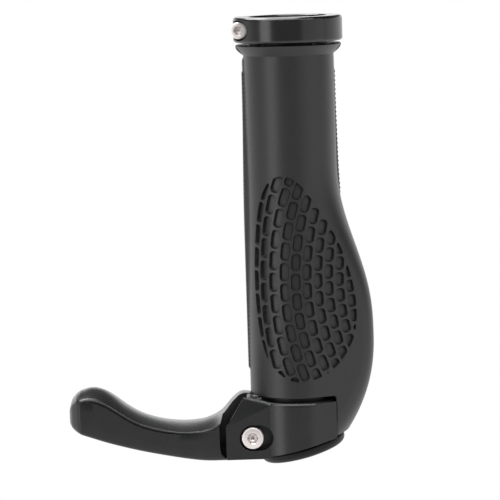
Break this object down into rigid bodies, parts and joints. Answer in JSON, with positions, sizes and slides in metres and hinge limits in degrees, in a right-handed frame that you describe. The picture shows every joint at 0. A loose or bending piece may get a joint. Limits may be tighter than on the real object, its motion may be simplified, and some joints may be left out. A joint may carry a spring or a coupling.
{
  "type": "handlebar grip",
  "caption": "Lock-on rubber handlebar grip with a palm wing, a honeycomb palm panel, a clamp ring and a bolted metal bar end.",
  "frame": {"origin": "on the handlebar's axis, where the bar's end stops against the plug's skirt", "axes": "+Z along the handlebar towards the middle of the bicycle, -Y towards the palm, -X towards the horn, +X towards the wing"},
  "size_m": [0.099, 0.0348, 0.1446],
  "materials": {
    "ring_metal": "black anodised, satin gloss",
    "screw_steel": "stainless, turned",
    "sleeve_nylon": "moulded black nylon",
    "grip_rubber": "matt black moulded rubber",
    "bar_end_metal": "cast, black satin coating",
    "cap_plastic": "moulded black plastic"
  },
  "bodies": {
    "root": {"lock_ring": "ring_metal", "lock_ring_screw": "screw_steel", "core_sleeve": "sleeve_nylon", "rubber_grip": "grip_rubber", "bar_end": "bar_end_metal", "bar_end_screw": "screw_steel", "end_cap": "cap_plastic"}
  },
  "joints": []
}
